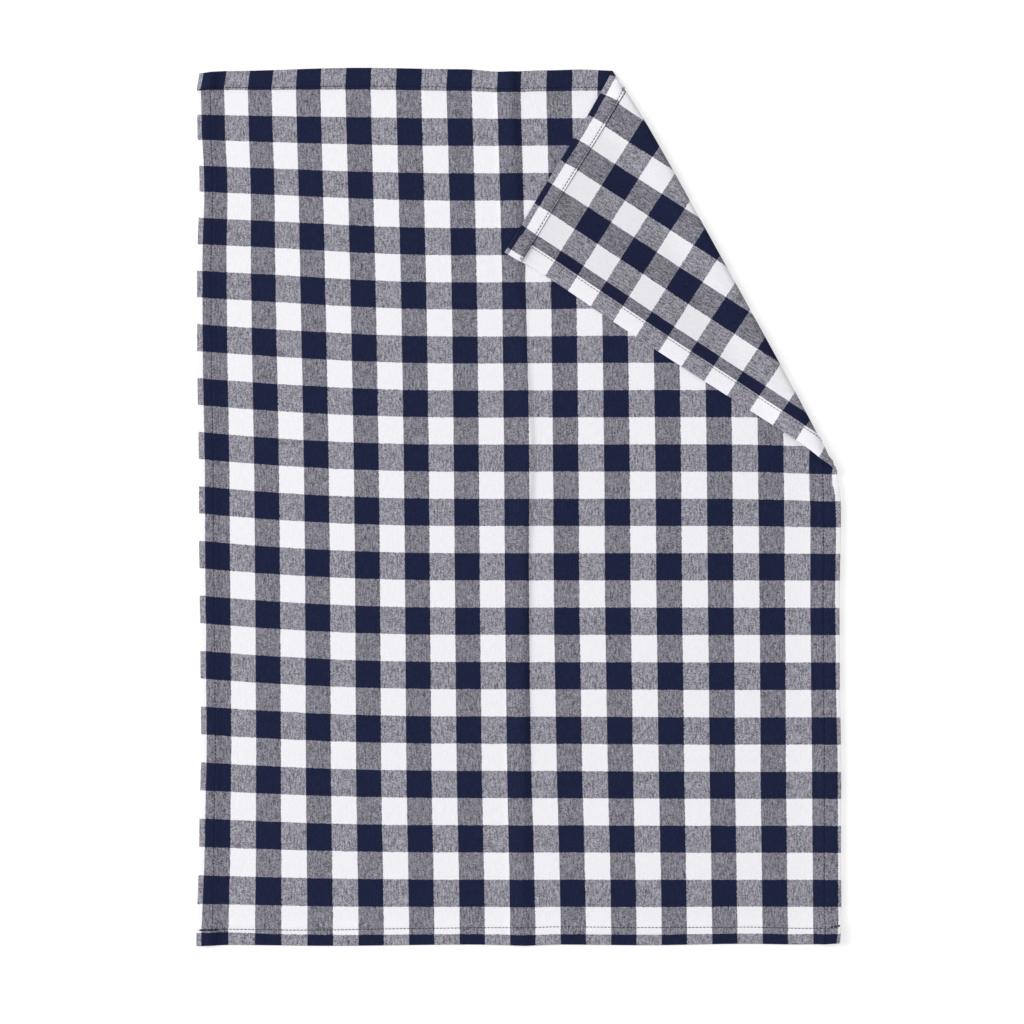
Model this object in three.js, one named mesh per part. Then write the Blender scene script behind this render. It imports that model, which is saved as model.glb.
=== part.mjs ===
// Tea towel: one hemmed sheet of gingham that lies on its reverse, with the top right corner
// folded over its front. Millimetres, +Z up, the table at z = 0. +X runs to the towel's right
// side and +Y to its top edge. The origin is on the table, under the middle of the towel's box.
import * as THREE from "three";

const { clamp, degToRad, lerp, smoothstep } = THREE.MathUtils;

// The finished cloth, measured flat from edge to edge
const WIDTH = 508;
const LENGTH = 693;
const CLOTH = 1.2;
const HEM_STEP = 0.9;
const HEM_SLOPE = 2;
const HEM = { left: 12.5, right: 14.5, top: 15.5, foot: 14.5 };
const FACET = 30;

// How the cloth lies away from square: its top leans left, its foot a little right,
// the left side rides up, and the right half is stretched outwards from the crease
const TOP_LEAN = -8.6;
const FOOT_LEAN = 1.8;
const FOOT_SHARE = 0.2;
const SIDE_RISE = 10;
const SIDE_RISE_REACH = 210;
const SIDE_RISE_POWER = 0.7;
const RIGHT_SPREAD = 3.9;
const RIGHT_SPREAD_SHARE = 0.35;
const LEFT_EDGE_REACH = 130;
const EDGE_REACH = 70;
const HEM_REACH = 25;

// The wavering edges: a share of the way up or across, and the edge's own offset there
const LEFT_EDGE = [
  { share: 0.0, right: -1.7 },
  { share: 0.12, right: 0.4 },
  { share: 0.22, right: 1.9 },
  { share: 0.31, right: 1.3 },
  { share: 0.45, right: 0.3 },
  { share: 0.52, right: 0.1 },
  { share: 0.68, right: -1.4 },
  { share: 0.76, right: -1.4 },
  { share: 0.86, right: 0.6 },
  { share: 0.93, right: -0.8 },
  { share: 1.0, right: -0.1 },
];
const TOP_EDGE = [
  { share: 0.0, up: -1.6 },
  { share: 0.27, up: 1.2 },
  { share: 0.43, up: 0.1 },
  { share: 0.49, up: -2.0 },
  { share: 0.56, up: -0.8 },
  { share: 0.63, up: 0.1 },
  { share: 0.86, up: 1.6 },
  { share: 1.0, up: 0.2 },
];
const RIGHT_EDGE = [
  { share: 0.18, right: 0 },
  { share: 0.31, right: -1.7 },
  { share: 0.38, right: -1.6 },
  { share: 0.5, right: 0.4 },
  { share: 0.77, right: 2.4 },
  { share: 1.0, right: 0.4 },
];
// Where the right and top hems of the folded corner are turned wider, which draws their edges in
const RIGHT_HEM = [
  { share: 0.45, right: 0 },
  { share: 0.515, right: -0.8 },
  { share: 0.56, right: -3.6 },
  { share: 0.66, right: -2.9 },
  { share: 0.9, right: -1.8 },
  { share: 0.96, right: -1.5 },
  { share: 0.985, right: 0.8 },
  { share: 1.0, right: 1.2 },
];
const TOP_HEM = [
  { share: 0.6, up: 0 },
  { share: 0.68, up: -1.5 },
  { share: 0.85, up: -1.7 },
  { share: 1.0, up: -1.1 },
];
const FOOT_EDGE = [
  { share: 0.0, up: -1.2 },
  { share: 0.05, up: -0.3 },
  { share: 0.2, up: -1.0 },
  { share: 0.42, up: 0 },
  { share: 0.51, up: -0.8 },
  { share: 0.56, up: 0 },
  { share: 0.69, up: -0.5 },
  { share: 0.85, up: 0.6 },
  { share: 0.93, up: 0.1 },
  { share: 1.0, up: 0.6 },
];

// The pressed crease down the middle: a low ridge, long on its left and steep on its right
const CREASE = [
  { share: 0.0, across: 256, high: 1.2 },
  { share: 0.28, across: 257.5, high: 2.2 },
  { share: 0.43, across: 259, high: 2.4 },
  { share: 0.56, across: 264, high: 1.6 },
  { share: 0.8, across: 257, high: 1.2 },
  { share: 1.0, across: 255.5, high: 2.4 },
];
const CREASE_MIDDLE = 258;
const CREASE_LEFT = 16;
const CREASE_RIGHT = 8;
const CREASE_TAKE = 1.4;
const CREASE_PULL = 20;
const CREASE_PULL_END = 120;

// The folded corner: the direction in which the fold faces, how far its outer edge lies from
// the towel's middle, the turn's depth and half its height, and how the flap comes down
const FOLD_FACING = degToRad(28.9);
const FOLD_REACH = 235.2;
const FOLD_DEEP = 3.8;
const FOLD_HIGH = 2.7;
const FOLD_STEPS = 8;
const FOLD_MIDDLE = 82.5;
const FOLD_HALF = 183;
const FOLD_END_RECESS = 2.5;
const FLAP_EASE = 30;
const FLAP_STEPS = 5;
const FLAP_GAP = 0.6;
const TIP_LIFT = 1.5;
const TIP_REACH = 60;

const FOLD_COS = Math.cos(FOLD_FACING);
const FOLD_SIN = Math.sin(FOLD_FACING);
const FOLD_TURN = (Math.PI * Math.hypot(FOLD_DEEP, FOLD_HIGH)) / Math.SQRT2;
const FLAP_FALL = 2 * FOLD_HIGH - CLOTH - FLAP_GAP;

// Corners of the facets closer than this to a fold line count as lying on it
const SNAP = 0.4;

// Reads one column of a short table at a share of the way, easing from row to row
function along(rows, column, share) {
  const next = rows.findIndex((row) => row.share >= share);
  if (next === 0) return rows[0][column];
  if (next < 0) return rows[rows.length - 1][column];
  const from = rows[next - 1];
  const to = rows[next];
  return lerp(from[column], to[column], smoothstep(share, from.share, to.share));
}

// 1 at an edge, falling to 0 at the reach, level where it ends
function fade(distance, reach) {
  return Math.max(0, 1 - distance / reach) ** 2;
}

// Where a point of the flat cloth lies in the plane of the table, before the corner is folded
function lay(across, up) {
  const share = up / LENGTH;
  const lean = TOP_LEAN * share ** 2 + FOOT_LEAN * fade(share, FOOT_SHARE);
  const leftLine = along(LEFT_EDGE, "right", share);
  let x = across - WIDTH / 2 + lerp(lean, leftLine, fade(across, LEFT_EDGE_REACH));

  const crease = along(CREASE, "across", share);
  const rightPart = clamp((across - crease) / (WIDTH - crease), 0, 1);
  const taken = CREASE_TAKE * smoothstep(across, crease, crease + CREASE_RIGHT);
  x += (RIGHT_SPREAD * rightPart - taken) * smoothstep(share, 0, RIGHT_SPREAD_SHARE);
  x += along(RIGHT_EDGE, "right", share) * fade(WIDTH - across, EDGE_REACH);
  x += along(RIGHT_HEM, "right", share) * fade(WIDTH - across, HEM_REACH);

  const belly = Math.max(0, Math.sin(Math.PI * share)) ** SIDE_RISE_POWER;
  let y = up - LENGTH / 2 + SIDE_RISE * fade(across, SIDE_RISE_REACH) * belly;
  y += along(TOP_EDGE, "up", across / WIDTH) * fade(LENGTH - up, EDGE_REACH);
  y += along(TOP_HEM, "up", across / WIDTH) * fade(LENGTH - up, HEM_REACH);
  y += along(FOOT_EDGE, "up", across / WIDTH) * fade(up, EDGE_REACH);
  return { x, y };
}

// Height of the crease's ridge over a point of the flat cloth
function creaseHeight(across, up) {
  const share = up / LENGTH;
  const off = across - along(CREASE, "across", share);
  const reach = off < 0 ? CREASE_LEFT : CREASE_RIGHT;
  const part = Math.min(1, Math.abs(off) / reach);
  return along(CREASE, "high", share) * 0.5 * (1 + Math.cos(Math.PI * part));
}

// Added thickness of the turned hems, doubled where two of them cross at a corner
function hemHeight(across, up) {
  const side = (distance, hem) => 1 - smoothstep(distance, hem, hem + HEM_SLOPE);
  const sides = side(across, HEM.left) + side(WIDTH - across, HEM.right);
  const ends = side(up, HEM.foot) + side(LENGTH - up, HEM.top);
  return HEM_STEP * (sides + ends);
}

// A point's place across and along the fold, and how far it is past the start of the turn
function foldPlace(across, up) {
  const flat = lay(across, up);
  const past = flat.x * FOLD_COS + flat.y * FOLD_SIN;
  const beside = flat.y * FOLD_COS - flat.x * FOLD_SIN;
  const fromMiddle = Math.min(1, Math.abs(beside - FOLD_MIDDLE) / FOLD_HALF);
  const recess = FOLD_END_RECESS * fromMiddle ** 4;
  const start = FOLD_REACH - FOLD_DEEP - CLOTH / 2 - recess;
  return { start, beside, run: past - start };
}

// The fold's section at mid thickness: flat cloth, half an oval, then the flap coming down.
// It gives the way out from the start of the turn, the height, and how far the front has turned.
function foldSection(run) {
  if (run <= 0) return { out: run, high: 0, turn: 0 };
  if (run < FOLD_TURN) {
    const swing = (Math.PI * run) / FOLD_TURN;
    const out = FOLD_DEEP * Math.sin(swing);
    const high = FOLD_HIGH * (1 - Math.cos(swing));
    const turn = Math.atan2(FOLD_HIGH * Math.sin(swing), FOLD_DEEP * Math.cos(swing));
    return { out, high, turn };
  }
  const back = run - FOLD_TURN;
  const part = Math.min(1, back / FLAP_EASE);
  const slope = (FLAP_FALL * 6 * part * (1 - part)) / FLAP_EASE;
  const high = 2 * FOLD_HIGH - FLAP_FALL * smoothstep(part, 0, 1);
  return { out: -back, high, turn: Math.PI + Math.atan(slope) };
}

// A point on the towel's front (side 1) or reverse (side -1). The hems add their thickness
// upwards: to the front where the towel lies flat, and to the reverse on the flap.
function place(across, up, side) {
  const { start, beside, run } = foldPlace(across, up);
  const { out, high, turn } = foldSection(run);
  const turned = clamp(turn / Math.PI, 0, 1);
  const hem = hemHeight(across, up) * (side > 0 ? 1 - turned : turned);
  const offset = side * (CLOTH / 2 + hem);
  const past = start + out - offset * Math.sin(turn);

  const fromTip = Math.hypot(WIDTH - across, LENGTH - up);
  const lift = lerp(creaseHeight(across, up), TIP_LIFT * fade(fromTip, TIP_REACH), turned);
  return new THREE.Vector3(
    past * FOLD_COS - beside * FOLD_SIN,
    past * FOLD_SIN + beside * FOLD_COS,
    CLOTH / 2 + high + offset * Math.cos(turn) + lift,
  );
}

// Lines between two places on the cloth, evenly spaced at about the size of a facet
function evenLines(from, to) {
  const count = Math.ceil((to - from) / FACET);
  return Array.from({ length: count + 1 }, (_, i) => lerp(from, to, i / count));
}

// Corners of the facets, each kept once, and found again by its place on the cloth
const corners = [];
const cornerAt = new Map();
function corner(across, up) {
  const key = `${across.toFixed(3)} ${up.toFixed(3)}`;
  if (!cornerAt.has(key)) {
    cornerAt.set(key, corners.length);
    corners.push({ across, up, run: foldPlace(across, up).run });
  }
  return cornerAt.get(key);
}

// The flat cloth as four-sided facets, ruled along the hems and along the wandering crease
function ruledFacets() {
  const hemLines = (size, first, last) => [
    0,
    first,
    ...evenLines(first + HEM_SLOPE, size - last - HEM_SLOPE),
    size - last,
    size,
  ];
  const upLines = hemLines(LENGTH, HEM.foot, HEM.top);
  const acrossLines = hemLines(WIDTH, HEM.left, HEM.right)
    .filter((line) => Math.abs(line - CREASE_MIDDLE) > CREASE_LEFT)
    .concat([-1, -0.5, 0].map((part) => CREASE_MIDDLE + part * CREASE_LEFT))
    .concat([0.5, 1].map((part) => CREASE_MIDDLE + part * CREASE_RIGHT))
    .sort((a, b) => a - b);

  const followCrease = (line, up) => {
    const pulled = 1 - smoothstep(Math.abs(line - CREASE_MIDDLE), CREASE_PULL, CREASE_PULL_END);
    return line + pulled * (along(CREASE, "across", up / LENGTH) - CREASE_MIDDLE);
  };
  const facets = [];
  for (let row = 1; row < upLines.length; row += 1) {
    for (let column = 1; column < acrossLines.length; column += 1) {
      const [left, right] = [acrossLines[column - 1], acrossLines[column]];
      const [low, high] = [upLines[row - 1], upLines[row]];
      facets.push([
        corner(followCrease(left, low), low),
        corner(followCrease(right, low), low),
        corner(followCrease(right, high), high),
        corner(followCrease(left, high), high),
      ]);
    }
  }
  return facets;
}

// The corner where the edge between two others crosses a fold line
function crossing(a, b, level) {
  const [from, to] = [corners[Math.min(a, b)], corners[Math.max(a, b)]];
  const part = (level - from.run) / (to.run - from.run);
  return corner(lerp(from.across, to.across, part), lerp(from.up, to.up, part));
}

// Cuts every facet that a fold line crosses in two along it
function cutAtFoldLine(facets, level) {
  const past = (index) => corners[index].run - level;
  return facets.flatMap((facet) => {
    const before = [];
    const after = [];
    facet.forEach((index, i) => {
      const next = facet[(i + 1) % facet.length];
      if (past(index) <= SNAP) before.push(index);
      if (past(index) >= -SNAP) after.push(index);
      const clear = Math.min(Math.abs(past(index)), Math.abs(past(next))) > SNAP;
      if (clear && past(index) * past(next) < 0) {
        const cut = crossing(index, next, level);
        before.push(cut);
        after.push(cut);
      }
    });
    return [before, after].filter((piece) => piece.some((index) => Math.abs(past(index)) > SNAP));
  });
}

// The facets, cut along every line of the turn and of the flap's way down
function foldedFacets() {
  const turnLines = Array.from({ length: FOLD_STEPS + 1 }, (_, i) => (FOLD_TURN * i) / FOLD_STEPS);
  const flapLines = Array.from({ length: FLAP_STEPS }, (_, i) => {
    return FOLD_TURN + (FLAP_EASE * (i + 1)) / FLAP_STEPS;
  });
  return [...turnLines, ...flapLines].reduce(cutAtFoldLine, ruledFacets());
}

// The closed sheet: its front, its reverse, and the rim that joins them around the edge
function towelGeometry() {
  const facets = foldedFacets();
  const count = corners.length;
  const front = corners.map(({ across, up }) => place(across, up, 1));
  const reverse = corners.map(({ across, up }) => place(across, up, -1));

  const triangles = [];
  const edges = new Set();
  facets.forEach((facet) => {
    for (let i = 2; i < facet.length; i += 1) {
      const [a, b, c] = [facet[0], facet[i - 1], facet[i]];
      triangles.push(a, b, c, a + count, c + count, b + count);
    }
    facet.forEach((a, i) => edges.add(`${a} ${facet[(i + 1) % facet.length]}`));
  });
  edges.forEach((edge) => {
    const [a, b] = edge.split(" ").map(Number);
    if (edges.has(`${b} ${a}`)) return;
    triangles.push(b, a, a + count, b, a + count, b + count);
  });

  const geometry = new THREE.BufferGeometry().setFromPoints([...front, ...reverse]);
  geometry.setIndex(triangles);
  geometry.computeBoundingBox();
  const { min, max } = geometry.boundingBox;
  geometry.translate(-(min.x + max.x) / 2, -(min.y + max.y) / 2, -min.z);
  geometry.computeVertexNormals();
  return geometry;
}

// Navy and white gingham, seen as one dull blue grey
const gingham = new THREE.MeshStandardMaterial({ color: 0x8a8b97, roughness: 0.92, metalness: 0 });

const towel = new THREE.Mesh(towelGeometry(), gingham);
towel.name = "towel";

const teaTowel = new THREE.Group();
teaTowel.add(towel);

export default teaTowel;
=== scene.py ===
import math

import bpy
import numpy as np
from bpy.props import FloatProperty, FloatVectorProperty, PointerProperty
from bpy.types import Operator, Panel, PropertyGroup
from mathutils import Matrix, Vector


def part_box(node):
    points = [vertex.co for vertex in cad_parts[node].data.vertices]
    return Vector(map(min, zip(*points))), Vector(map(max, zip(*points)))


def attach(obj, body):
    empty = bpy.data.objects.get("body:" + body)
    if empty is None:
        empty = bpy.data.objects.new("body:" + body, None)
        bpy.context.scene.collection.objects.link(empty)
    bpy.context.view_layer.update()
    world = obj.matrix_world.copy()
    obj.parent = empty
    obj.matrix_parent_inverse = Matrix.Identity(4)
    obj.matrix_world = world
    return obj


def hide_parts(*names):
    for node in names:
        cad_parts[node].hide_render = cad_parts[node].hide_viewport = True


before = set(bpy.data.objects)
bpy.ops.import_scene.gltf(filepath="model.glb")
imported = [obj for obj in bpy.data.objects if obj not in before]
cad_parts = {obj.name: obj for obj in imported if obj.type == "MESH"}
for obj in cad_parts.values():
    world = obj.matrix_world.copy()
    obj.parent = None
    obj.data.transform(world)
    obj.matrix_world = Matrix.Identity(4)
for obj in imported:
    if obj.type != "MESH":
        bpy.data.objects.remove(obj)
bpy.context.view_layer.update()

bl_info = {
    "name": "Gingham Tea Towel",
    "version": (1, 0, 0),
    "blender": (4, 5, 0),
    "location": "View3D > Sidebar > Tea Towel",
    "description": "Models a hemmed gingham tea towel that lies flat with one corner folded over",
    "category": "Add Mesh",
}

MM = 0.001
BODY = "root"
NODE = "towel"
CLOTH_MAP = "flat_cloth"
REVERSE = "reverse"

# How the cloth lies away from square, in millimetres and shares of its length: the top leans
# left, the foot a little right, the left side rides up, and the right half is stretched out
TOP_LEAN = -8.6
FOOT_LEAN = 1.8
FOOT_SHARE = 0.2
SIDE_RISE = 10
SIDE_RISE_REACH = 210
SIDE_RISE_POWER = 0.7
RIGHT_SPREAD = 3.9
RIGHT_SPREAD_SHARE = 0.35
LEFT_EDGE_REACH = 130
EDGE_REACH = 70
HEM_REACH = 25

# The wavering edges: a share of the way up or across, and the edge's own offset there
LEFT_EDGE = (
    {"share": 0.0, "right": -1.7},
    {"share": 0.12, "right": 0.4},
    {"share": 0.22, "right": 1.9},
    {"share": 0.31, "right": 1.3},
    {"share": 0.45, "right": 0.3},
    {"share": 0.52, "right": 0.1},
    {"share": 0.68, "right": -1.4},
    {"share": 0.76, "right": -1.4},
    {"share": 0.86, "right": 0.6},
    {"share": 0.93, "right": -1.1},
    {"share": 0.975, "right": -1.4},
    {"share": 1.0, "right": 0.6},
)
TOP_EDGE = (
    {"share": 0.0, "up": -3.5},
    {"share": 0.016, "up": -2.2},
    {"share": 0.045, "up": -1.4},
    {"share": 0.27, "up": 1.2},
    {"share": 0.43, "up": 0.1},
    {"share": 0.49, "up": -2.0},
    {"share": 0.56, "up": -0.8},
    {"share": 0.63, "up": 0.1},
    {"share": 0.86, "up": 1.6},
    {"share": 1.0, "up": 0.2},
)
RIGHT_EDGE = (
    {"share": 0.18, "right": 0},
    {"share": 0.31, "right": -1.7},
    {"share": 0.38, "right": -1.6},
    {"share": 0.5, "right": 0.4},
    {"share": 0.77, "right": 2.4},
    {"share": 1.0, "right": 0.4},
)
# Where the right and top hems of the folded corner are turned wider, which draws their edges in
RIGHT_HEM = (
    {"share": 0.0, "right": -2.6},
    {"share": 0.03, "right": -0.7},
    {"share": 0.45, "right": -0.7},
    {"share": 0.505, "right": -0.7},
    {"share": 0.515, "right": -1.0},
    {"share": 0.527, "right": -2.6},
    {"share": 0.536, "right": -3.5},
    {"share": 0.546, "right": -1.2},
    {"share": 0.552, "right": -0.6},
    {"share": 0.558, "right": -1.3},
    {"share": 0.566, "right": -2.3},
    {"share": 0.58, "right": -3.3},
    {"share": 0.6, "right": -3.4},
    {"share": 0.66, "right": -2.9},
    {"share": 0.9, "right": -1.8},
    {"share": 0.96, "right": -1.5},
    {"share": 0.985, "right": 0.8},
    {"share": 1.0, "right": 1.2},
)
TOP_HEM = (
    {"share": 0.6, "up": 0},
    {"share": 0.68, "up": -1.5},
    {"share": 0.85, "up": -1.7},
    {"share": 1.0, "up": -1.1},
)
FOOT_EDGE = (
    {"share": 0.0, "up": -1.2},
    {"share": 0.05, "up": -0.3},
    {"share": 0.2, "up": -1.0},
    {"share": 0.42, "up": 0},
    {"share": 0.51, "up": -0.8},
    {"share": 0.56, "up": 0},
    {"share": 0.69, "up": -0.5},
    {"share": 0.85, "up": 0.6},
    {"share": 0.93, "up": 0.1},
    {"share": 0.97, "up": 0.4},
    {"share": 1.0, "up": 1.4},
)

# Where the foot and top seams wander in their hems: a share of the way across, and the offset
FOOT_SEAM = (
    {"share": 0.1, "up": -1.6},
    {"share": 0.35, "up": 0},
    {"share": 0.55, "up": 1.1},
    {"share": 0.85, "up": 0.5},
    {"share": 0.955, "up": -0.3},
    {"share": 0.976, "up": 0},
    {"share": 0.99, "up": 1.0},
    {"share": 1.0, "up": 1.9},
)
TOP_SEAM = (
    {"share": 0.0, "up": -2.4},
    {"share": 0.014, "up": -1.2},
    {"share": 0.05, "up": -0.6},
    {"share": 0.3, "up": 0},
)

# The pressed crease down the middle: a low ridge, long on its left and steep on its right
CREASE = (
    {"share": 0.0, "across": 256, "high": 1.2},
    {"share": 0.28, "across": 257.5, "high": 2.2},
    {"share": 0.43, "across": 259, "high": 2.4},
    {"share": 0.56, "across": 264, "high": 1.6},
    {"share": 0.8, "across": 257, "high": 1.2},
    {"share": 1.0, "across": 255.5, "high": 2.4},
)
CREASE_LEFT = 16
CREASE_RIGHT = 8
CREASE_TAKE = 1.4

# Where the weave has slipped in the cloth: the middle and reach of each slip, and how far its
# columns lie to the right and its rows up, in millimetres
WEAVE_SLIPS = (
    {"across": 88, "up": 344, "wide": 110, "tall": 230, "right": 1.35, "rise": 0},
    {"across": 320, "up": 50, "wide": 350, "tall": 80, "right": 1.3, "rise": 0},
    {"across": 239, "up": 540, "wide": 80, "tall": 120, "right": 0.9, "rise": 0},
    {"across": 318, "up": 275, "wide": 120, "tall": 70, "right": -0.6, "rise": 0},
    {"across": 58, "up": 545, "wide": 65, "tall": 80, "right": 0, "rise": 1.4},
    {"across": 224, "up": 545, "wide": 90, "tall": 110, "right": 0, "rise": -1.1},
    {"across": 430, "up": 155, "wide": 120, "tall": 75, "right": 0, "rise": -0.9},
    {"across": 508, "up": 371, "wide": 50, "tall": 50, "right": 0, "rise": -2.4},
    {"across": 508, "up": 373, "wide": 25, "tall": 18, "right": -1.6, "rise": 0},
    {"across": 508, "up": 150, "wide": 25, "tall": 170, "right": 1.0, "rise": 0},
    {"across": 0, "up": 675, "wide": 40, "tall": 40, "right": -0.6, "rise": 0},
    {"across": 0, "up": 693, "wide": 30, "tall": 12, "right": -0.9, "rise": 0},
    {"across": 0, "up": 10, "wide": 45, "tall": 60, "right": -0.9, "rise": 0},
    {"across": 0, "up": 8, "wide": 45, "tall": 14, "right": 0, "rise": 1.3},
)
# The same past the fold, where the top hem is drawn in at the fold's upper end
FLAP_SLIPS = (
    {"across": 352, "up": 700, "wide": 24, "tall": 30, "right": -6.0, "rise": 0},
    {"across": 386, "up": 700, "wide": 22, "tall": 28, "right": -2.2, "rise": 0},
)

# How deep the yarns speckle the cloth: in white, how much more in mixed and navy checks, the
# least share of its colour that a crossing keeps, and the slubs' share beside single crossings
SPECKLE_WHITE = 0.06
SPECKLE_MIXED = 0.92
SPECKLE_NAVY = 0.35
SPECKLE_DARKEST = 0.12
SLUB_SHARE = 0.9
# How far the yarns stand out of the weave, in millimetres, and how far painted shade darkens the
# reverse, which in view is the folded flap, as if it took less light
YARN_RELIEF = 0.15
REVERSE_PAINTED_SHADE = 0.09

# How far a stitch's ends dip and its middle stands up, in thicknesses of its thread
STITCH_DIP = 0.6
STITCH_RAISE = 0.35

# How deep its twist mottles the thread, and its grain the floor, as shares of their colours
TWIST_DEPTH = 0.5
GRAIN_DEPTH = 0.01

# Mesh lines of a hem: how many go round its edge and its inner turn, where they lie in shares
# of its slope and of its seam's groove, and the least between two, in millimetres
EDGE_LINES = 6
INNER_LINES = 4
SLOPE_PARTS = (0, 0.3, 0.6, 1)
GROOVE_PARTS = (-2, -1, 0, 1)
LINE_GAP = 0.1

# The camera's sensor, in millimetres, and how far it sees, in metres
SENSOR_WIDTH = 36
FAR_CLIP = 50


def linear(hex_colour):
    """An sRGB hex colour as linear red, green and blue."""
    parts = [int(hex_colour[at : at + 2], 16) / 255 for at in (1, 3, 5)]
    return tuple(c / 12.92 if c <= 0.04045 else ((c + 0.055) / 1.055) ** 2.4 for c in parts)


def size(name, description, millimetres):
    """A length that a user may change, given in millimetres and kept in metres."""
    return FloatProperty(
        name=name,
        description=description,
        default=millimetres * MM,
        min=0,
        unit="LENGTH",
        precision=5,
    )


def share_of(name, description, default):
    """A share of a whole that a user may change."""
    return FloatProperty(
        name=name, description=description, default=default, min=0, max=1, subtype="FACTOR"
    )


def colour(name, description, hex_colour):
    """A colour that a user may change."""
    return FloatVectorProperty(
        name=name,
        description=description,
        default=linear(hex_colour),
        min=0,
        max=1,
        subtype="COLOR",
    )


class ClothSizes(PropertyGroup):
    """The finished cloth and its hems"""

    width: size("Width", "Finished width, edge to edge", 508)
    length: size("Length", "Finished length, edge to edge", 693)
    thickness: size("Thickness", "Thickness of one layer", 0.32)
    layer_step: size("Layer step", "From one turned layer to the next", 0.34)
    hem_left: size("Left hem", "Width of the left hem", 13.2)
    hem_right: size("Right hem", "Width of the right hem", 15.2)
    hem_top: size("Top hem", "Width of the top hem", 15.7)
    hem_foot: size("Foot hem", "Width of the foot hem", 14.5)
    hem_lip: size("Hem lip", "Raw edge that is turned in under each hem", 8)
    hem_slope: size("Hem slope", "Over which the cloth comes down beside a hem", 5)
    edge_lift: size("Edge lift", "How far the right edge stands off the table", 2.2)
    edge_reach: size("Edge reach", "How far from the right edge it starts to lift", 40)
    mesh_step: size("Mesh step", "Spacing of the sheet's mesh", 5)
    crease_step: size("Crease step", "Spacing of the sheet's mesh beside the crease", 2)


class FoldSizes(PropertyGroup):
    """The corner that is folded over"""

    facing: FloatProperty(
        name="Facing",
        description="Way that the fold's outer edge faces, from the width towards the length",
        default=math.radians(28.9),
        subtype="ANGLE",
    )
    reach: size("Reach", "From the towel's middle to the fold's outer edge", 235.2)
    deep: size("Deep", "Depth of the turn, from its start to its outermost line", 3.8)
    high: size("High", "Half the height of the turn", 2.7)
    middle: size("Middle", "Where along its line the fold has its middle", 82.5)
    half: size("Half", "Half the length of the fold", 183)
    end_recess: size("End recess", "How far the fold draws in at its two ends", 2.5)
    swell: size("Swell", "How far the right hem swells the fold's lower end", 1.1)
    swell_from: size("Swell from", "From the fold's lower end to the middle of the swelling", 10.5)
    swell_reach: size("Swell reach", "How far the swelling reaches along the fold", 6.5)
    flap_ease: size("Flap ease", "Over which the flap comes down onto the cloth", 30)
    flap_gap: size("Flap gap", "Between the flap and the cloth under it", 0.45)
    tip_lift: size("Tip lift", "How far the flap's tip stands up", 1.6)
    tip_reach: size("Tip reach", "How far from the tip it starts to lift", 60)
    turn_step: size("Turn step", "Spacing of the mesh lines around the turn", 0.4)
    press: share_of("Press", "How far the fold's upper end is pressed flat", 0.68)
    press_reach: size("Press reach", "How far from its upper end the fold is pressed", 45)
    press_recess: size("Press recess", "How far the pressed end draws in", 1.6)


class CheckSizes(PropertyGroup):
    """The gingham check and its yarns"""

    across: size("Across", "Width of a check", 20)
    up: size("Up", "Height of a check", 21.55)
    left_strip: size("Left strip", "White outside the first navy column", 4)
    foot_strip: size("Foot strip", "Navy under the first white row", 8.7)
    yarn: size("Yarn", "Pitch of the yarns as drawn", 0.8)
    slub: size("Slub", "Length of a thick or thin place in a yarn", 6.5)
    slub_width: size("Slub width", "Width of the streak that it draws", 1.15)
    wander: size("Wander", "How far the yarns wander", 0.5)
    wander_patch: size("Wander patch", "Size of the places in which they wander together", 9)
    edge_step: size("Edge step", "How far a check's edge steps from yarn to yarn", 0.45)
    hem_slant: size("Hem slant", "How far the columns lean to the right in the top hem", 1.2)
    row_slip: size("Row slip", "How far all rows lie towards the foot", 0.5)
    slip_fade: size("Slip fade", "How far past the fold the weave's slips die out", 50)


class SeamSizes(PropertyGroup):
    """The hem seams"""

    thread: size("Thread", "Diameter of the sewing thread", 0.55)
    stitch: size("Stitch", "Length of a stitch from hole to hole", 2.9)
    gap: size("Gap", "Between two stitches, at the hole", 0.4)
    inset: size("Inset", "From a hem's inner edge to its seam", 1.6)
    groove: size("Groove", "Half the width of the groove along a seam", 0.7)
    pinch: share_of("Pinch", "How far a seam draws its layers together", 0.4)
    start: size("Start", "From the towel's edge to the first stitch", 0.8)
    tack_left: size("Left tack", "Length that is sewn over again at the foot seam's left end", 15)
    tack_right: size("Right tack", "Length that is sewn over again at the foot seam's right end", 7)
    tack_top: size("Top tack", "Length that is sewn over again at the top seam's left end", 6)
    tack_tip: size("Tip tack", "Length that is sewn over again on the folded corner's reverse", 12)
    tack_spread: size("Tack spread", "From the seam to the stitches sewn beside it in a tack", 0.4)


class TowelColours(PropertyGroup):
    """The colours of the yarns, the threads, the floor and the lights"""

    navy: colour("Navy", "Navy warp over navy weft", "#171d39")
    white: colour("White", "White warp over white weft", "#e7e6eb")
    white_warp: colour("White warp", "White warp over navy weft", "#898891")
    navy_warp: colour("Navy warp", "Navy warp over white weft", "#787780")
    thread: colour("Thread", "Sewing thread on the front", "#141828")
    bobbin: colour("Bobbin thread", "Sewing thread on the reverse", "#5c5c68")
    floor: colour("Floor", "Plain pale floor, without its glow", "#bbbbbb")
    glow: colour("Glow", "Light from under the floor", "#ffffff")
    fill: colour("Fill", "Even light from all round", "#ffffff")


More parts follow.
